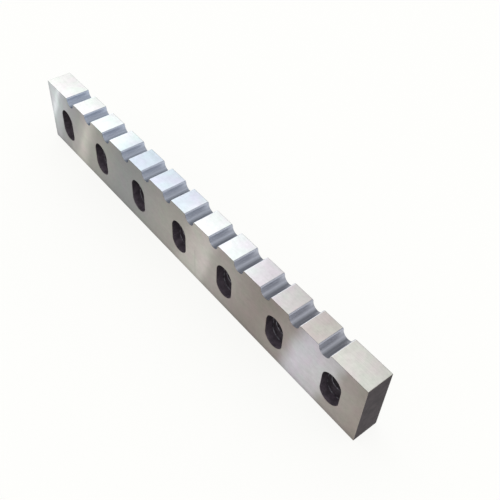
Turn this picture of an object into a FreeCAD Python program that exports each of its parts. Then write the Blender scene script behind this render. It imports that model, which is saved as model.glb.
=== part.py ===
import FreeCAD, Part
import os
from math import pi

import Sketcher

# Shear blade: one ground bar of tool steel that stands on its narrow edge.
# Twelve half-round grooves cross the top edge, and their lips are the cutting edges.
# Seven bolt seats run along the bar: an oblong pocket in each wide face, with a round bore between the two.
# X runs along the bar, Y through its thickness and Z up. The origin is under the middle of the bar.

SIZES = {
    "bar_length": 600,
    "bar_height": 90,
    "bar_thickness": 33,
    "groove_count": 12,
    "groove_pitch": 44,
    "groove_radius": 7.6,
    "groove_lip_radius": 1.8,
    "pocket_count": 7,
    "pocket_pitch": 86,
    "pocket_centre_height": 41.5,
    "pocket_width": 27,
    "pocket_length": 46.5,
    "pocket_depth": 11.5,
    "bore_diameter": 17.5,
    "edge_break": 0.5,
}
NODE = "shear_blade"
OUTPUT_FOLDER = "parts"

# How a sketch numbers the points of an edge, and its own origin.
START, END, CENTRE = 1, 2, 3
SKETCH_ORIGIN = (-1, START)


def add_size_sheet(doc):
    """One row for each driving dimension: its name, and its value with that name as alias."""
    sheet = doc.addObject("Spreadsheet::Sheet", "sizes")
    for row, (name, value) in enumerate(SIZES.items(), start=1):
        sheet.set(f"A{row}", name)
        sheet.set(f"B{row}", str(value))
        sheet.setAlias(f"B{row}", name)
    doc.recompute()


def origin_feature(body, role):
    return next(feature for feature in body.Origin.OriginFeatures if feature.Role == role)


def add_side_sketch(body, name, offset="0"):
    """A sketch seen from the front, x along the bar and y up, that far in front of the middle plane."""
    sketch = body.newObject("Sketcher::SketchObject", name)
    sketch.AttachmentSupport = (origin_feature(body, "XZ_Plane"), [""])
    sketch.MapMode = "FlatFace"
    sketch.setExpression("AttachmentOffset.Base.z", offset)
    return sketch


def add_line(sketch, start, end):
    return sketch.addGeometry(Part.LineSegment(FreeCAD.Vector(*start, 0), FreeCAD.Vector(*end, 0)), False)


def add_arc(sketch, centre, radius, start_angle, end_angle):
    circle = Part.Circle(FreeCAD.Vector(*centre, 0), FreeCAD.Vector(0, 0, 1), radius)
    return sketch.addGeometry(Part.ArcOfCircle(circle, start_angle, end_angle), False)


def bind(sketch, kind, *geometry, size, expression):
    """A driving constraint, drawn at its size and then tied to the size sheet."""
    index = sketch.addConstraint(Sketcher.Constraint(kind, *geometry, size))
    sketch.setExpression(f"Constraints[{index}]", expression)


def place(sketch, edge, point, position, count_name, pitch_name, height):
    """Holds a point at the first place of a row centred on the bar, and at its height over the base."""
    across = f"(sizes.{count_name} - 1) / 2 * sizes.{pitch_name}"
    bind(sketch, "DistanceX", edge, point, *SKETCH_ORIGIN, size=-position[0], expression=across)
    bind(sketch, "DistanceY", *SKETCH_ORIGIN, edge, point, size=position[1], expression=height)


def first_place(count_name, pitch_name):
    return -(SIZES[count_name] - 1) / 2 * SIZES[pitch_name]


def draw_bar_outline(sketch):
    half, height = SIZES["bar_length"] / 2, SIZES["bar_height"]
    corners = [(-half, 0), (half, 0), (half, height), (-half, height)]
    edges = [add_line(sketch, *pair) for pair in zip(corners, corners[1:] + corners[:1])]
    for edge, following in zip(edges, edges[1:] + edges[:1]):
        sketch.addConstraint(Sketcher.Constraint("Coincident", edge, END, following, START))
    base, right, top, left = edges
    for level in (base, top):
        sketch.addConstraint(Sketcher.Constraint("Horizontal", level))
    for upright in (right, left):
        sketch.addConstraint(Sketcher.Constraint("Vertical", upright))
    sketch.addConstraint(Sketcher.Constraint("Symmetric", base, START, base, END, *SKETCH_ORIGIN))
    bind(sketch, "DistanceX", base, START, base, END, size=2 * half, expression="sizes.bar_length")
    bind(sketch, "DistanceY", right, START, right, END, size=height, expression="sizes.bar_height")


def draw_groove(sketch):
    """The left-hand groove: a half circle whose two ends roll over into the top edge through the lips."""
    radius, lip = SIZES["groove_radius"], SIZES["groove_lip_radius"]
    x, top = first_place("groove_count", "groove_pitch"), SIZES["bar_height"]
    axis_height = top - lip
    left_lip = add_arc(sketch, (x - radius - lip, axis_height), lip, 0, pi / 2)
    bowl = add_arc(sketch, (x, axis_height), radius, pi, 2 * pi)
    right_lip = add_arc(sketch, (x + radius + lip, axis_height), lip, pi / 2, pi)
    mouth = add_line(sketch, (x - radius - lip, top), (x + radius + lip, top))
    joints = [
        (left_lip, START, bowl, START),
        (bowl, END, right_lip, END),
        (right_lip, START, mouth, END),
        (mouth, START, left_lip, END),
    ]
    for joint in joints:
        sketch.addConstraint(Sketcher.Constraint("Tangent", *joint))
    for end in (START, END):
        sketch.addConstraint(Sketcher.Constraint("Horizontal", bowl, end, bowl, CENTRE))
    sketch.addConstraint(Sketcher.Constraint("Equal", left_lip, right_lip))
    bind(sketch, "Radius", bowl, size=radius, expression="sizes.groove_radius")
    bind(sketch, "Radius", left_lip, size=lip, expression="sizes.groove_lip_radius")
    place(sketch, bowl, CENTRE, (x, axis_height), "groove_count", "groove_pitch",
          "sizes.bar_height - sizes.groove_lip_radius")


def draw_pocket(sketch):
    """The left-hand pocket: an upright oblong with full round ends."""
    radius = SIZES["pocket_width"] / 2
    straight = SIZES["pocket_length"] - SIZES["pocket_width"]
    x, low = first_place("pocket_count", "pocket_pitch"), SIZES["pocket_centre_height"] - straight / 2
    high = low + straight
    bottom = add_arc(sketch, (x, low), radius, pi, 2 * pi)
    right = add_line(sketch, (x + radius, low), (x + radius, high))
    top = add_arc(sketch, (x, high), radius, 0, pi)
    left = add_line(sketch, (x - radius, high), (x - radius, low))
    edges = [bottom, right, top, left]
    for edge, following in zip(edges, edges[1:] + edges[:1]):
        sketch.addConstraint(Sketcher.Constraint("Tangent", edge, END, following, START))
    sketch.addConstraint(Sketcher.Constraint("Equal", bottom, top))
    sketch.addConstraint(Sketcher.Constraint("Vertical", right))
    bind(sketch, "Radius", bottom, size=radius, expression="sizes.pocket_width / 2")
    bind(sketch, "DistanceY", right, START, right, END, size=straight,
         expression="sizes.pocket_length - sizes.pocket_width")
    place(sketch, bottom, CENTRE, (x, low), "pocket_count", "pocket_pitch",
          "sizes.pocket_centre_height - (sizes.pocket_length - sizes.pocket_width) / 2")


def draw_bore(sketch):
    """The left-hand bore, on the middle of its pocket."""
    x, height = first_place("pocket_count", "pocket_pitch"), SIZES["pocket_centre_height"]
    radius = SIZES["bore_diameter"] / 2
    circle = Part.Circle(FreeCAD.Vector(x, height, 0), FreeCAD.Vector(0, 0, 1), radius)
    rim = sketch.addGeometry(circle, False)
    bind(sketch, "Radius", rim, size=radius, expression="sizes.bore_diameter / 2")
    place(sketch, rim, CENTRE, (x, height), "pocket_count", "pocket_pitch", "sizes.pocket_centre_height")


def add_pad(body, name, sketch):
    pad = body.newObject("PartDesign::Pad", name)
    pad.Profile = sketch
    pad.SideType = "Symmetric"
    pad.setExpression("Length", "sizes.bar_thickness")
    return pad


def add_through_cut(body, name, sketch):
    """A cut from the middle plane out through both wide faces."""
    cut = body.newObject("PartDesign::Pocket", name)
    cut.Profile = sketch
    cut.Type = "ThroughAll"
    cut.SideType = "Symmetric"
    return cut


def add_pocket_cut(body, name, sketch):
    """A cut from the front face inwards."""
    cut = body.newObject("PartDesign::Pocket", name)
    cut.Profile = sketch
    cut.Type = "Length"
    cut.setExpression("Length", "sizes.pocket_depth")
    return cut


def set_row(body, pattern, count_name, pitch_name):
    pattern.Direction = (origin_feature(body, "X_Axis"), [""])
    pattern.Mode = "Spacing"
    pattern.setExpression("Offset", f"sizes.{pitch_name}")
    pattern.setExpression("Occurrences", f"sizes.{count_name}")


def add_row(body, name, original, count_name, pitch_name):
    """Repeats a feature along the bar."""
    pattern = body.newObject("PartDesign::LinearPattern", name)
    pattern.Originals = [original]
    set_row(body, pattern, count_name, pitch_name)
    body.Tip = pattern


def add_row_on_both_faces(body, name, original, count_name, pitch_name):
    """Repeats a feature of the front face on the back face, and the pair along the bar."""
    transform = body.newObject("PartDesign::MultiTransform", name)
    transform.Originals = [original]
    mirror = body.Document.addObject("PartDesign::Mirrored", f"{name}_mirror")
    mirror.MirrorPlane = (origin_feature(body, "XZ_Plane"), [""])
    pattern = body.Document.addObject("PartDesign::LinearPattern", f"{name}_row")
    set_row(body, pattern, count_name, pitch_name)
    transform.Transformations = [mirror, pattern]
    body.Tip = transform


def mouth_edges(shape):
    """Names of the edges where a hollow opens into a flat face that looks forwards or backwards."""
    numbers = {edge.hashCode(): number for number, edge in enumerate(shape.Edges, start=1)}
    names = []
    for face in shape.Faces:
        faces_along_y = isinstance(face.Surface, Part.Plane) and abs(face.Surface.Axis.y) > 0.999
        if not faces_along_y:
            continue
        for wire in face.Wires:
            if not wire.isSame(face.OuterWire):
                names += [f"Edge{numbers[edge.hashCode()]}" for edge in wire.Edges]
    return names


def add_edge_breaks(body, name):
    base = body.Tip
    chamfer = body.newObject("PartDesign::Chamfer", name)
    chamfer.Base = (base, mouth_edges(base.Shape))
    chamfer.setExpression("Size", "sizes.edge_break")
    body.Tip = chamfer


def build_blade(doc):
    body = doc.addObject("PartDesign::Body", "blade_body")
    body.Label = NODE
    body.Placement = FreeCAD.Placement()

    outline = add_side_sketch(body, "bar_outline")
    draw_bar_outline(outline)
    add_pad(body, "bar", outline)

    groove_sketch = add_side_sketch(body, "groove_profile")
    draw_groove(groove_sketch)
    groove = add_through_cut(body, "groove", groove_sketch)
    add_row(body, "grooves", groove, "groove_count", "groove_pitch")

    pocket_sketch = add_side_sketch(body, "pocket_outline", offset="sizes.bar_thickness / 2")
    draw_pocket(pocket_sketch)
    pocket = add_pocket_cut(body, "pocket", pocket_sketch)
    add_row_on_both_faces(body, "pockets", pocket, "pocket_count", "pocket_pitch")

    bore_sketch = add_side_sketch(body, "bore_outline")
    draw_bore(bore_sketch)
    bore = add_through_cut(body, "bore", bore_sketch)
    add_row(body, "bores", bore, "pocket_count", "pocket_pitch")

    doc.recompute()
    add_edge_breaks(body, "edge_breaks")
    doc.recompute()
    return body


def check(doc, body):
    """Every feature has to work, each one after the bar has to take steel away, and one solid is left."""
    for item in doc.Objects:
        if "Invalid" in item.State or "Error" in item.State:
            raise RuntimeError(f"{item.Name} failed: {item.State}")
        base = getattr(item, "BaseFeature", None)
        if base and item.Shape.Volume >= base.Shape.Volume:
            raise RuntimeError(f"{item.Name} takes nothing away")
    if body.Shape.isNull() or not body.Shape.isValid() or len(body.Shape.Solids) != 1:
        raise RuntimeError(f"{body.Label} is not one valid solid")


def main():
    doc = FreeCAD.newDocument("shear_blade")
    add_size_sheet(doc)
    body = build_blade(doc)
    check(doc, body)
    os.makedirs(OUTPUT_FOLDER, exist_ok=True)
    body.Shape.exportStep(os.path.join(OUTPUT_FOLDER, f"{NODE}.step"))
    box = body.Shape.BoundBox
    size = f"{box.XLength:.1f} x {box.YLength:.1f} x {box.ZLength:.1f} mm"
    print(f"{NODE}: {size}, {body.Shape.Volume:.0f} mm3")


main()
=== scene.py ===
from math import pi, radians

import bmesh
import bpy
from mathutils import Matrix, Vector


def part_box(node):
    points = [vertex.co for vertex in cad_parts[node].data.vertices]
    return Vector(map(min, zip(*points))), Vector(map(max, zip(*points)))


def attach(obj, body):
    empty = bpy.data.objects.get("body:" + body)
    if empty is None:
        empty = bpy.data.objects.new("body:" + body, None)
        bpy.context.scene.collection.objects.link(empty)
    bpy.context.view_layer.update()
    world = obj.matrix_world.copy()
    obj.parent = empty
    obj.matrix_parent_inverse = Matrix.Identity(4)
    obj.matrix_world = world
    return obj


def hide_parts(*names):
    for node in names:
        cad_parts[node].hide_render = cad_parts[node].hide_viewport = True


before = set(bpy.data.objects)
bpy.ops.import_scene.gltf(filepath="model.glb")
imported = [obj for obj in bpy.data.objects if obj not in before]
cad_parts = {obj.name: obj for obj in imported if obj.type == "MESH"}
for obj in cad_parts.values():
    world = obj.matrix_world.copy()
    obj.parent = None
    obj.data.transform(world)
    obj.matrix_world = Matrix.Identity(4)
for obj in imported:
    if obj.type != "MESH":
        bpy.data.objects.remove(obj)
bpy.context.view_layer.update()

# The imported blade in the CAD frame: metres, X along the bar, -Y the front face, Z up.
MM = 0.001
_, BLADE_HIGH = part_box("shear_blade")
HALF_LENGTH = BLADE_HIGH.x
HALF_THICKNESS = BLADE_HIGH.y
HEIGHT = BLADE_HIGH.z

# Places of the machined features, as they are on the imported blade.
GROOVE_FLOOR_HEIGHT = HEIGHT - 9.4 * MM
GROOVE_PITCH = 44 * MM
GROOVE_HALF_WIDTH = 9.4 * MM
BOLT_PITCH = 86 * MM
BOLT_HEIGHT = 41.5 * MM
POCKET_FLOOR = HALF_THICKNESS - 11.5 * MM
RIM_CHAMFER = 0.5 * MM
BASE_ZONE = 0.1 * HEIGHT

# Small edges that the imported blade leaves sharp.
GROUND_EDGE_BREAK = 0.3 * MM
CUTTER_CORNER = 1.0 * MM

# Distances and angles in degrees that tell one surface of the blade from the next.
TOUCHING = 0.01 * MM
SAME_CORNER = 0.001 * MM
SAME_PLANE_TURN = 0.5
SHARP_TURN = 60
SMOOTH_TURN = 35

# The photograph's camera, fitted to the edges, pockets and grooves of the bar.
IMAGE_WIDTH_PX = 500
FOCAL_LENGTH_PX = 717.6
SENSOR_WIDTH_MM = 36.0
CAMERA_PLACE = Vector((0.48551, -0.33914, 0.64952))
CAMERA_TURN_DEGREES = (42.791, -2.760, 51.071)

# The floor is 12 m wide. Of what the camera and the steel see of it, this share is its own even glow.
FLOOR_SIDE = 12.0
FLOOR_OWN_GLOW = 0.88

# The dome dims from 1 to its top tone between these heights, each the sine of an angle over the horizon.
DOME_FADE_START = 0.3
DOME_FADE_END = 0.75
DOME_TOP = 0.66

# Windows: the way to the middle of each, the cosines of the angles off it at which its light starts and
# is full, and its brightness.
WINDOWS = [
    (Vector((-0.86, 0.36, 0.36)), 0.6, 0.98, 1.05),
    (Vector((0.62, 0.42, 0.66)), 0.78, 0.98, 0.45)]

# Painted reflections: soft light and dark bands along the bar, standing in for a bright room reflected in a
# ground face: the place of each in mm, and its tone.
SIDE_REFLECTION_BANDS = [
    (-310, "C8CDD1"), (-302, "DEE4E8"), (-290, "AEB3B7"), (-278, "A4A7AA"), (-262, "909192"),
    (-244, "908F8D"), (-230, "A09D99"), (-215, "B9B5AE"), (-186, "8F8D87"), (-120, "7F8080"),
    (-10, "96928C"), (28, "B6B1AB"), (50, "BDB8B3"), (68, "9C9691"), (145, "877E78"),
    (184, "928A85"), (213, "C4C1C9"), (247, "BFBCC0"), (264, "9A938E"), (316, "8F857E")]
FLAT_REFLECTION_BANDS = [
    (-300, "BCBDBC"), (-220, "C2C4C4"), (-150, "C5CBCD"), (-96, "AEB7C2"), (-10, "B9BFCA"),
    (36, "D0D2D4"), (88, "D2D4D7"), (140, "C3C1C5"), (176, "BDBABA"), (220, "BAB5B1"),
    (270, "D4D2CE")]
BAND_REACH = 320 * MM
BAND_WANDER = 18 * MM

# For each metre that they rise, the painted reflection bands of the sides lean this far towards +X and draw
# this much together.
SIDE_BAND_LEAN = 0.35
SIDE_BAND_FAN = 0.5

# Painted shade: a side is brightest along the line of its bolts and falls off towards both long edges, less
# so upwards.
MIDDLE_TONE = 1.065
SIDE_EDGE_FALL = 0.13
FALL_START = 6 * MM
FALL_END = 42 * MM
UPWARD_SHARE = 0.8

# Painted shade: the flats between the grooves are this much darker along the back than along the front.
FLAT_BACK_SHADE = 0.18

# Painted shade: dark lines along edges, standing in for the dark that the edges and the shadowed floor
# beside them reflect: the axis across the line, the place of the edge, how far the line reaches from it, and
# its tone at the edge.
SIDE_EDGE_SHADE_LINES = [
    ("Z", 0.0, 8 * MM, 0.72),
    ("Z", HEIGHT, -0.6 * MM, 0.6),
    ("X", -HALF_LENGTH, 8 * MM, 0.8)]
FLAT_EDGE_SHADE_LINES = [
    ("Y", HALF_THICKNESS, -MM, 0.65),
    ("X", -HALF_LENGTH, MM, 0.65)]

# One faint upright scratch, low on the front face. It is drawn wider than a real one, so that it shows.
SCRATCH_PLACE = 32 * MM
SCRATCH_TOP = 46 * MM
SCRATCH_HALF_WIDTH = 0.8 * MM
SCRATCH_TONE = 0.75

# Sizes of the patterns. The marks of the wheel and the rings of the cutter are too fine to show in the
# render at their real size, so the lays and the rings are drawn as coarse as they need to show.
BAND_WANDER_SIZE = 70 * MM
CLOUD_SIZE = 7 * MM
OIL_FILM_SIZE = 18 * MM
FACE_LAY_WIDTH = 0.9 * MM
GROOVE_LAY_WIDTH = 1.1 * MM
LAY_STRETCH = 30
LAY_DEPTH = 0.05 * MM
SCALE_PATCH_SIZE = 6 * MM
RING_PITCH = 1.6 * MM
RING_DEPTH = 0.06 * MM
WEAR_PATCH_SIZE = 4 * MM
END_MOTTLE_SIZE = 8 * MM

# Nearly all of a noise lies between these two values.
NOISE_LOW = 0.3
NOISE_HIGH = 0.7

# How far the clouds and the lay shift the tone of a ground face, and how rough the lay leaves it.
MOTTLE = 0.08
GRAIN = 0.06
GROUND_ROUGHNESS = (0.28, 0.34)

# The lay in the grooves shifts their tone between these.
GROOVE_GRAIN = (1.06, 1.24)

# Painted shade and light in the pockets: the scale is darkest in the bores, where shade falls, lighter low
# in the pockets, where light falls on their lower walls from above, and darker at their upper ends.
BORE_SHADE_TONE = 0.4
POCKET_LIGHT_LOW = BOLT_HEIGHT - 18 * MM
POCKET_LIGHT_HIGH = BOLT_HEIGHT + 14 * MM
POCKET_LIGHT_TONES = (1.5, 0.4)


def linear(hex_colour):
    """sRGB hex, such as "C8C4BE", to the linear colour a shader takes."""
    channels = [int(hex_colour[i:i + 2], 16) / 255 for i in (0, 2, 4)]
    return [c / 12.92 if c <= 0.04045 else ((c + 0.055) / 1.055) ** 2.4 for c in channels] + [1.0]


def add_node(tree, kind, sockets=None, **settings):
    """Adds a node with its settings. A socket takes a plain value, or a link from another node's output.

    The sockets of Math and Mix nodes share their names, so they go by number: in a colour Mix, 0 is the
    factor, 6 and 7 are the two colours, and output 2 is the result.
    """
    node = tree.nodes.new(kind)
    for name, value in settings.items():
        setattr(node, name, value)
    for socket, value in (sockets or {}).items():
        if isinstance(value, bpy.types.NodeSocket):
            tree.links.new(value, node.inputs[socket])
        else:
            node.inputs[socket].default_value = value
    return node


def new_material(name):
    """An empty node material, with its tree and its surface."""
    material = bpy.data.materials.new(name)
    material.use_nodes = True
    tree = material.node_tree
    tree.nodes.clear()
    surface = add_node(tree, "ShaderNodeBsdfPrincipled")
    add_node(tree, "ShaderNodeOutputMaterial", {"Surface": surface.outputs["BSDF"]})
    return material, tree, surface


def set_tones(ramp, tones):
    """Puts tones, each a position from 0 to 1 and a hex colour, on a ramp that starts with its usual two."""
    while len(ramp.elements) < len(tones):
        ramp.elements.new(1.0)
    for element, (position, hex_colour) in zip(ramp.elements, tones):
        element.position = position
        element.color = linear(hex_colour)


def reflection_band_tones(tree, place, parts, above_bolts, bands, lean, fan):
    """The colour of the painted reflection bands along the bar. A noise makes them wander a little."""
    wander = add_node(tree, "ShaderNodeTexNoise", {
        "Vector": place, "Scale": 1 / BAND_WANDER_SIZE, "Detail": 2.0, "Roughness": 0.5})
    spread = add_node(tree, "ShaderNodeMath", {0: above_bolts, 1: fan, 2: 1.0}, operation="MULTIPLY_ADD")
    fanned = add_node(tree, "ShaderNodeMath", {
        0: parts.outputs["X"], 1: spread.outputs["Value"]}, operation="MULTIPLY")
    leaning = add_node(tree, "ShaderNodeMath", {
        0: above_bolts, 1: -lean, 2: fanned.outputs["Value"]}, operation="MULTIPLY_ADD")
    wandering = add_node(tree, "ShaderNodeMath", {
        0: wander.outputs["Fac"], 1: 2 * BAND_WANDER, 2: leaning.outputs["Value"]},
        operation="MULTIPLY_ADD")
    along = add_node(tree, "ShaderNodeMapRange", {
        "Value": wandering.outputs["Value"],
        "From Min": BAND_WANDER - BAND_REACH, "From Max": BAND_WANDER + BAND_REACH})
    reflection_band_ramp = add_node(tree, "ShaderNodeValToRGB", {"Fac": along.outputs["Result"]})
    reflection_band_ramp.color_ramp.interpolation = "EASE"
    set_tones(reflection_band_ramp.color_ramp, [(0.5 + x * MM / (2 * BAND_REACH), tone) for x, tone in bands])
    return reflection_band_ramp.outputs["Color"]


def painted_shade_falloff(tree, parts, above_bolts, edge_fall, back_fall):
    """How bright a ground face is, as painted shade: less towards the long edges, and less towards the back.
    """
    upper = add_node(tree, "ShaderNodeMath", {0: above_bolts, 1: UPWARD_SHARE}, operation="MULTIPLY")
    lower = add_node(tree, "ShaderNodeMath", {0: above_bolts, 1: -1.0}, operation="MULTIPLY")
    aside = add_node(tree, "ShaderNodeMath", {
        0: upper.outputs["Value"], 1: lower.outputs["Value"]}, operation="MAXIMUM")
    fall = add_node(tree, "ShaderNodeMapRange", {
        "Value": aside.outputs["Value"], "From Min": FALL_START, "From Max": FALL_END,
        "To Min": MIDDLE_TONE, "To Max": MIDDLE_TONE - edge_fall}, interpolation_type="SMOOTHSTEP")
    shade = add_node(tree, "ShaderNodeMath", {
        0: parts.outputs["Y"], 1: -back_fall / (2 * HALF_THICKNESS), 2: fall.outputs["Result"]},
        operation="MULTIPLY_ADD")
    return shade.outputs["Value"]


def front_scratch(tree, parts):
    """The tone of the scratch: less than 1 along it, and 1 above its top and in the rear half of the bar."""
    beside = add_node(tree, "ShaderNodeMath", {
        0: parts.outputs["X"], 1: SCRATCH_PLACE}, operation="SUBTRACT")
    away = add_node(tree, "ShaderNodeMath", {0: beside.outputs["Value"]}, operation="ABSOLUTE")
    tone = add_node(tree, "ShaderNodeMapRange", {
        "Value": away.outputs["Value"], "From Max": SCRATCH_HALF_WIDTH,
        "To Min": SCRATCH_TONE}).outputs["Result"]
    for axis, end in (("Z", SCRATCH_TOP), ("Y", 0.0)):
        past_it = add_node(tree, "ShaderNodeMapRange", {
            "Value": parts.outputs[axis], "From Min": end, "From Max": end + MM})
        tone = add_node(tree, "ShaderNodeMath", {
            0: tone, 1: past_it.outputs["Result"]}, operation="MAXIMUM").outputs["Value"]
    return tone


def ground_tool_steel(name, bands, lean, fan, edge_fall, back_fall, edge_shade_lines, scratched):
    """Hardened tool steel off the surface grinder, oiled: painted reflection bands and painted shade under a
    fine lay along the bar.
    """
    material, tree, surface = new_material(name)
    place = add_node(tree, "ShaderNodeTexCoord").outputs["Object"]
    parts = add_node(tree, "ShaderNodeSeparateXYZ", {"Vector": place})
    above_bolts = add_node(tree, "ShaderNodeMath", {
        0: parts.outputs["Z"], 1: BOLT_HEIGHT}, operation="SUBTRACT").outputs["Value"]
    painted_reflection_colour = reflection_band_tones(tree, place, parts, above_bolts, bands, lean, fan)

    clouds = add_node(tree, "ShaderNodeTexNoise", {
        "Vector": place, "Scale": 1 / CLOUD_SIZE, "Detail": 5.0, "Roughness": 0.75})
    lay_place = add_node(tree, "ShaderNodeMapping", {
        "Vector": place, "Scale": (1 / LAY_STRETCH, 1.0, 1.0)})
    lay = add_node(tree, "ShaderNodeTexNoise", {
        "Vector": lay_place.outputs["Vector"], "Scale": 1 / FACE_LAY_WIDTH,
        "Detail": 3.0, "Roughness": 0.6})
    mottle = add_node(tree, "ShaderNodeMapRange", {
        "Value": clouds.outputs["Fac"], "From Min": NOISE_LOW, "From Max": NOISE_HIGH,
        "To Min": 1 - MOTTLE, "To Max": 1 + MOTTLE})
    grain = add_node(tree, "ShaderNodeMapRange", {
        "Value": lay.outputs["Fac"], "From Min": NOISE_LOW, "From Max": NOISE_HIGH,
        "To Min": 1 - GRAIN, "To Max": 1 + GRAIN})
    # Painted shade along the edges of the face.
    edge_shade_tones = [
        add_node(tree, "ShaderNodeMapRange", {
            "Value": parts.outputs[axis], "From Min": edge, "From Max": edge + width, "To Min": darkest})
        for axis, edge, width, darkest in edge_shade_lines]
    shares = [node.outputs["Result"] for node in (mottle, grain, *edge_shade_tones)]
    if scratched:
        shares.append(front_scratch(tree, parts))
    strength = painted_shade_falloff(tree, parts, above_bolts, edge_fall, back_fall)
    for share in shares:
        strength = add_node(tree, "ShaderNodeMath", {
            0: strength, 1: share}, operation="MULTIPLY").outputs["Value"]

    film = add_node(tree, "ShaderNodeTexNoise", {
        "Vector": place, "Scale": 1 / OIL_FILM_SIZE, "Detail": 2.0, "Roughness": 0.5})
    film_tint = add_node(tree, "ShaderNodeValToRGB", {"Fac": film.outputs["Fac"]})
    set_tones(film_tint.color_ramp, [(0.35, "FFFAFC"), (0.65, "FAFFFA")])
    oiled = add_node(tree, "ShaderNodeMix", {
        0: 1.0, 6: painted_reflection_colour, 7: film_tint.outputs["Color"]}, data_type="RGBA", blend_type="MULTIPLY")
    tone = add_node(tree, "ShaderNodeHueSaturation", {"Color": oiled.outputs[2], "Value": strength})
    tree.links.new(tone.outputs["Color"], surface.inputs["Base Color"])
    surface.inputs["Metallic"].default_value = 1.0

    smoothest, roughest = GROUND_ROUGHNESS
    gloss = add_node(tree, "ShaderNodeMapRange", {
        "Value": lay.outputs["Fac"], "From Min": NOISE_LOW, "From Max": NOISE_HIGH,
        "To Min": smoothest, "To Max": roughest})
    tree.links.new(gloss.outputs["Result"], surface.inputs["Roughness"])
    bump = add_node(tree, "ShaderNodeBump", {
        "Height": lay.outputs["Fac"], "Strength": 0.05, "Distance": LAY_DEPTH})
    tree.links.new(bump.outputs["Normal"], surface.inputs["Normal"])
    return material


def form_ground_groove_steel():
    """Grooves and lips off a formed wheel, cool grey with painted reflections: pale up the wall that looks
    to +X, dark at the bottom.

    The lip towards +X is nearly white, a painted highlight, and the whole row turns a little bluer towards
    -X, a painted sky reflection.
    """
    material, tree, surface = new_material("form_ground_groove_steel")
    place = add_node(tree, "ShaderNodeTexCoord").outputs["Object"]
    parts = add_node(tree, "ShaderNodeSeparateXYZ", {"Vector": place})
    bay = add_node(tree, "ShaderNodeMath", {
        0: parts.outputs["X"], 1: GROOVE_PITCH, 2: 0.0}, operation="WRAP")
    from_bottom = add_node(tree, "ShaderNodeMath", {
        0: bay.outputs["Value"], 1: GROOVE_PITCH / 2}, operation="SUBTRACT")
    across = add_node(tree, "ShaderNodeMapRange", {
        "Value": from_bottom.outputs["Value"],
        "From Min": -GROOVE_HALF_WIDTH, "From Max": GROOVE_HALF_WIDTH})
    # Painted reflection and shade across each groove, with a painted highlight on the lip towards +X.
    painted_groove_light_and_shade = add_node(tree, "ShaderNodeValToRGB", {"Fac": across.outputs["Result"]})
    painted_groove_light_and_shade.color_ramp.interpolation = "EASE"
    set_tones(painted_groove_light_and_shade.color_ramp, [
        (0.0, "8A8C94"), (0.05, "A9ABB4"), (0.1, "BEC0CA"), (0.19, "A0A2AB"), (0.28, "ABADB6"),
        (0.375, "9A9DA5"), (0.45, "7A7D85"), (0.5, "6D6F77"), (0.62, "75777E"), (0.77, "82838A"),
        (0.93, "82838A"), (0.965, "C8CACF"), (1.0, "F0F2F8")])

    lay_place = add_node(tree, "ShaderNodeMapping", {
        "Vector": place, "Scale": (1.0, 1 / LAY_STRETCH, 1.0)})
    lay = add_node(tree, "ShaderNodeTexNoise", {
        "Vector": lay_place.outputs["Vector"], "Scale": 1 / GROOVE_LAY_WIDTH,
        "Detail": 3.0, "Roughness": 0.6})
    darkest, palest = GROOVE_GRAIN
    grain = add_node(tree, "ShaderNodeMapRange", {
        "Value": lay.outputs["Fac"], "From Min": NOISE_LOW, "From Max": NOISE_HIGH,
        "To Min": darkest, "To Max": palest})
    along = add_node(tree, "ShaderNodeMapRange", {
        "Value": parts.outputs["X"], "From Min": -HALF_LENGTH, "From Max": HALF_LENGTH})
    # Painted sky reflection: a little bluer towards -X.
    painted_sky_tint = add_node(tree, "ShaderNodeValToRGB", {"Fac": along.outputs["Result"]})
    set_tones(painted_sky_tint.color_ramp, [(0.1, "ECF6FF"), (0.9, "EAEAEB")])
    tinted = add_node(tree, "ShaderNodeMix", {
        0: 1.0, 6: painted_groove_light_and_shade.outputs["Color"], 7: painted_sky_tint.outputs["Color"]},
        data_type="RGBA", blend_type="MULTIPLY")
    tone = add_node(tree, "ShaderNodeHueSaturation", {
        "Color": tinted.outputs[2], "Value": grain.outputs["Result"]})
    tree.links.new(tone.outputs["Color"], surface.inputs["Base Color"])
    surface.inputs["Metallic"].default_value = 0.5
    surface.inputs["Roughness"].default_value = 0.42
    bump = add_node(tree, "ShaderNodeBump", {
        "Height": lay.outputs["Fac"], "Strength": 0.12, "Distance": LAY_DEPTH})
    tree.links.new(bump.outputs["Normal"], surface.inputs["Normal"])
    return material


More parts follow.
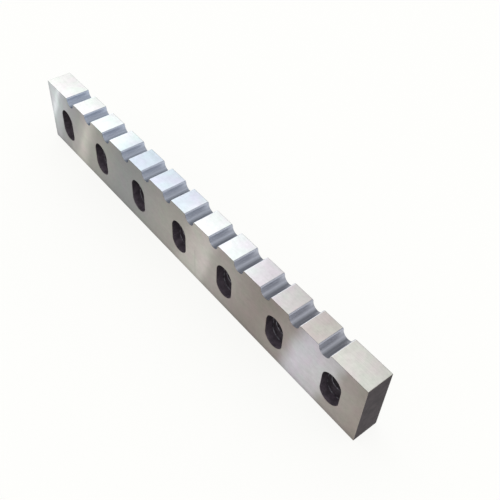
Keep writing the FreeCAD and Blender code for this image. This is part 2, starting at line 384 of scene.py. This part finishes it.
def hardening_scale():
    """Pockets and bores, milled before hardening and never ground: black scale over faint cutter rings, with
    painted shade in the bores and painted light low in the pockets.
    """
    material, tree, surface = new_material("black_hardening_scale")
    place = add_node(tree, "ShaderNodeTexCoord").outputs["Object"]
    parts = add_node(tree, "ShaderNodeSeparateXYZ", {"Vector": place})
    patches = add_node(tree, "ShaderNodeTexNoise", {
        "Vector": place, "Scale": 1 / SCALE_PATCH_SIZE, "Detail": 4.0, "Roughness": 0.6})
    tone = add_node(tree, "ShaderNodeValToRGB", {"Fac": patches.outputs["Fac"]})
    set_tones(tone.color_ramp, [(0.35, "403A41"), (0.7, "5A515A")])
    from_middle = add_node(tree, "ShaderNodeMath", {0: parts.outputs["Y"]}, operation="ABSOLUTE")
    # Painted shade in the bores.
    bore_shade = add_node(tree, "ShaderNodeMapRange", {
        "Value": from_middle.outputs["Value"], "From Min": POCKET_FLOOR, "From Max": POCKET_FLOOR + MM,
        "To Min": BORE_SHADE_TONE})
    low_tone, high_tone = POCKET_LIGHT_TONES
    # Painted light low in the pockets and painted shade at their upper ends.
    pocket_light = add_node(tree, "ShaderNodeMapRange", {
        "Value": parts.outputs["Z"], "From Min": POCKET_LIGHT_LOW, "From Max": POCKET_LIGHT_HIGH,
        "To Min": low_tone, "To Max": high_tone})
    strength = add_node(tree, "ShaderNodeMath", {
        0: bore_shade.outputs["Result"], 1: pocket_light.outputs["Result"]}, operation="MULTIPLY")
    lit_scale_tone = add_node(tree, "ShaderNodeHueSaturation", {
        "Color": tone.outputs["Color"], "Value": strength.outputs["Value"]})
    tree.links.new(lit_scale_tone.outputs["Color"], surface.inputs["Base Color"])
    surface.inputs["Roughness"].default_value = 0.5
    surface.inputs["Specular IOR Level"].default_value = 0.3

    across = add_node(tree, "ShaderNodeMath", {
        0: parts.outputs["X"], 1: BOLT_PITCH / 2, 2: -BOLT_PITCH / 2}, operation="WRAP")
    up = add_node(tree, "ShaderNodeMath", {0: parts.outputs["Z"], 1: BOLT_HEIGHT}, operation="SUBTRACT")
    from_bore = add_node(tree, "ShaderNodeCombineXYZ", {
        "X": across.outputs["Value"], "Y": up.outputs["Value"]})
    reach = add_node(tree, "ShaderNodeVectorMath", {
        "Vector": from_bore.outputs["Vector"]}, operation="LENGTH")
    turns = add_node(tree, "ShaderNodeMath", {
        0: reach.outputs["Value"], 1: 2 * pi / RING_PITCH}, operation="MULTIPLY")
    rings = add_node(tree, "ShaderNodeMath", {0: turns.outputs["Value"]}, operation="SINE")
    bump = add_node(tree, "ShaderNodeBump", {
        "Height": rings.outputs["Value"], "Strength": 0.25, "Distance": RING_DEPTH})
    tree.links.new(bump.outputs["Normal"], surface.inputs["Normal"])
    return material


def glinting_rubbed_pocket_edge():
    """Corners of the pocket floors and rims of the bores: grey steel where bolts rub the scale back, also
    lighter as a painted highlight for the glints along them.
    """
    material, tree, surface = new_material("rubbed_pocket_edge_steel")
    place = add_node(tree, "ShaderNodeTexCoord").outputs["Object"]
    wear = add_node(tree, "ShaderNodeTexNoise", {
        "Vector": place, "Scale": 1 / WEAR_PATCH_SIZE, "Detail": 3.0, "Roughness": 0.6})
    tone = add_node(tree, "ShaderNodeValToRGB", {"Fac": wear.outputs["Fac"]})
    set_tones(tone.color_ramp, [(0.4, "453F47"), (0.62, "7C7C82")])
    tree.links.new(tone.outputs["Color"], surface.inputs["Base Color"])
    surface.inputs["Metallic"].default_value = 0.9
    surface.inputs["Roughness"].default_value = 0.4
    return material


def dark_end_steel():
    """The two ends, machined: a dark, dull gunmetal with faint mottling."""
    material, tree, surface = new_material("dark_machined_end_steel")
    place = add_node(tree, "ShaderNodeTexCoord").outputs["Object"]
    mottle = add_node(tree, "ShaderNodeTexNoise", {
        "Vector": place, "Scale": 1 / END_MOTTLE_SIZE, "Detail": 5.0, "Roughness": 0.6})
    tone = add_node(tree, "ShaderNodeValToRGB", {"Fac": mottle.outputs["Fac"]})
    set_tones(tone.color_ramp, [(0.35, "201A1D"), (0.65, "3C3538")])
    tree.links.new(tone.outputs["Color"], surface.inputs["Base Color"])
    surface.inputs["Specular Tint"].default_value = linear("F2EFF1")
    surface.inputs["Metallic"].default_value = 1.0
    surface.inputs["Roughness"].default_value = 0.5
    return material


# The finishes, in the order of the dressed blade's material slots.
SIDES, FLATS, GROOVES, SCALE, RUBBED_GLINT, ENDS = range(6)


def finish_of(face):
    """Which finish a face of the blade has, from where it lies and which way it looks."""
    centre = face.calc_center_median()
    depth = abs(centre.y)
    inside_thickness = depth < HALF_THICKNESS - RIM_CHAMFER
    inside_length = abs(centre.x) < HALF_LENGTH - RIM_CHAMFER
    looks_along_bar = abs(face.normal.x) > 0.99
    looks_across_bar = abs(face.normal.y) > 0.5
    if not inside_length and looks_along_bar:
        return ENDS
    if not inside_thickness or not inside_length:
        return SIDES
    if centre.z > HEIGHT - TOUCHING:
        return FLATS
    if centre.z > GROOVE_FLOOR_HEIGHT - MM:
        return GROOVES
    if centre.z < BASE_ZONE:
        return SIDES
    # Painted highlight: the bore rims take the lighter rubbed steel, for their glint as well as for wear.
    if looks_across_bar and POCKET_FLOOR - RIM_CHAMFER < depth < POCKET_FLOOR - TOUCHING:
        return RUBBED_GLINT
    return SCALE


def on_pocket_floor(edge):
    """Whether an edge lies in the floor of a pocket."""
    return all(abs(abs(vertex.co.y) - POCKET_FLOOR) < TOUCHING for vertex in edge.verts)


def round_edges(shape, edges, size, segments):
    """Rounds edges to that size, and returns the faces that make the rounding."""
    made = bmesh.ops.bevel(shape, geom=edges, offset=size, offset_type="OFFSET", affect="EDGES",
                           segments=segments, profile=0.5, material=-1, clamp_overlap=True)
    return made["faces"]


def turn_of(edge):
    """Degrees that the surface turns at an edge: more than 0 outside a corner, less inside one."""
    return edge.calc_face_angle_signed() / radians(1) if edge.is_manifold else 0.0


def dress_blade():
    """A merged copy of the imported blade, with its small edges rounded and a finish on each surface."""
    shape = bmesh.new()
    shape.from_mesh(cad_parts["shear_blade"].data)
    bmesh.ops.remove_doubles(shape, verts=shape.verts, dist=SAME_CORNER)
    bmesh.ops.dissolve_limit(
        shape, angle_limit=radians(SAME_PLANE_TURN), verts=shape.verts, edges=shape.edges)
    sharp = [edge for edge in shape.edges if turn_of(edge) > SHARP_TURN]
    round_edges(shape, sharp, GROUND_EDGE_BREAK, segments=2)
    corners = [edge for edge in shape.edges if turn_of(edge) < -SHARP_TURN and on_pocket_floor(edge)]
    # Painted highlight: the rounded corners of the pocket floors take the lighter rubbed steel, for their
    # glint as well as for wear.
    rubbed_glint_faces = set(round_edges(shape, corners, CUTTER_CORNER, segments=3))
    for face in shape.faces:
        face.material_index = RUBBED_GLINT if face in rubbed_glint_faces else finish_of(face)
        face.smooth = True
    for edge in shape.edges:
        edge.smooth = abs(turn_of(edge)) < SMOOTH_TURN
    mesh = bpy.data.meshes.new("ground_blade")
    shape.to_mesh(mesh)
    shape.free()
    finishes = (
        ground_tool_steel(
            "ground_tool_steel_sides", SIDE_REFLECTION_BANDS, lean=SIDE_BAND_LEAN, fan=SIDE_BAND_FAN,
            edge_fall=SIDE_EDGE_FALL, back_fall=0.0, edge_shade_lines=SIDE_EDGE_SHADE_LINES, scratched=True),
        ground_tool_steel(
            "ground_tool_steel_flats", FLAT_REFLECTION_BANDS, lean=0.0, fan=0.0,
            edge_fall=0.0, back_fall=FLAT_BACK_SHADE, edge_shade_lines=FLAT_EDGE_SHADE_LINES, scratched=False),
        form_ground_groove_steel(), hardening_scale(), glinting_rubbed_pocket_edge(), dark_end_steel())
    for material in finishes:
        mesh.materials.append(material)
    piece = bpy.data.objects.new("ground_blade", mesh)
    bpy.context.scene.collection.objects.link(piece)
    weighted = piece.modifiers.new("flat_faces_stay_flat", "WEIGHTED_NORMAL")
    weighted.keep_sharp = True
    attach(piece, "root")
    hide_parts("shear_blade")


def lay_floor():
    """A plain pale floor. The camera and the steel see mostly its own glow, so the shadow on it is faint."""
    material, tree, surface = new_material("pale_studio_floor")
    surface.inputs["Base Color"].default_value = linear("FDFDFB")
    surface.inputs["Roughness"].default_value = 0.9
    surface.inputs["Specular IOR Level"].default_value = 0.0
    glow = add_node(tree, "ShaderNodeEmission", {"Color": linear("FFFFFD"), "Strength": 1.0})
    light_path = add_node(tree, "ShaderNodeLightPath")
    seen = light_path.outputs["Is Camera Ray"]
    for kind_of_ray in ("Is Glossy Ray", "Is Transmission Ray"):
        seen = add_node(tree, "ShaderNodeMath", {
            0: seen, 1: light_path.outputs[kind_of_ray]}, operation="MAXIMUM").outputs["Value"]
    share = add_node(tree, "ShaderNodeMath", {0: seen, 1: FLOOR_OWN_GLOW}, operation="MULTIPLY")
    mixed = add_node(tree, "ShaderNodeMixShader", {
        0: share.outputs["Value"], 1: surface.outputs["BSDF"], 2: glow.outputs["Emission"]})
    tree.links.new(mixed.outputs["Shader"], tree.nodes["Material Output"].inputs["Surface"])
    shape = bmesh.new()
    bmesh.ops.create_grid(shape, x_segments=1, y_segments=1, size=FLOOR_SIDE / 2)
    mesh = bpy.data.meshes.new("floor")
    shape.to_mesh(mesh)
    shape.free()
    mesh.materials.append(material)
    floor = bpy.data.objects.new("floor", mesh)
    bpy.context.scene.collection.objects.link(floor)


def light_studio():
    """A soft dome, paler low down, with a wide window at the far end and a higher one at the near end."""
    world = bpy.data.worlds.new("studio")
    bpy.context.scene.world = world
    world.use_nodes = True
    tree = world.node_tree
    tree.nodes.clear()
    direction = add_node(tree, "ShaderNodeTexCoord").outputs["Generated"]
    height = add_node(tree, "ShaderNodeSeparateXYZ", {"Vector": direction}).outputs["Z"]
    dome = add_node(tree, "ShaderNodeMapRange", {
        "Value": height, "From Min": DOME_FADE_START, "From Max": DOME_FADE_END,
        "To Min": 1.0, "To Max": DOME_TOP}, interpolation_type="SMOOTHSTEP")
    strength = dome.outputs["Result"]
    for window, start, full, brightness in WINDOWS:
        towards = add_node(tree, "ShaderNodeVectorMath", {
            0: direction, 1: window.normalized()}, operation="DOT_PRODUCT")
        glow = add_node(tree, "ShaderNodeMapRange", {
            "Value": towards.outputs["Value"], "From Min": start, "From Max": full, "To Max": brightness},
            interpolation_type="SMOOTHSTEP")
        strength = add_node(tree, "ShaderNodeMath", {
            0: strength, 1: glow.outputs["Result"]}).outputs["Value"]
    background = add_node(tree, "ShaderNodeBackground", {"Color": linear("FFFFFF"), "Strength": strength})
    add_node(tree, "ShaderNodeOutputWorld", {"Surface": background.outputs["Background"]})


def place_camera():
    """Stands the camera where the photograph was taken from, with the same angle of view."""
    data = bpy.data.cameras.new("camera")
    data.sensor_width = SENSOR_WIDTH_MM
    data.lens = FOCAL_LENGTH_PX * SENSOR_WIDTH_MM / IMAGE_WIDTH_PX
    camera = bpy.data.objects.new("camera", data)
    camera.location = CAMERA_PLACE
    camera.rotation_euler = [radians(angle) for angle in CAMERA_TURN_DEGREES]
    bpy.context.scene.collection.objects.link(camera)
    bpy.context.scene.camera = camera


place_camera()
dress_blade()
lay_floor()
light_studio()
bpy.context.scene.view_settings.view_transform = "Standard"
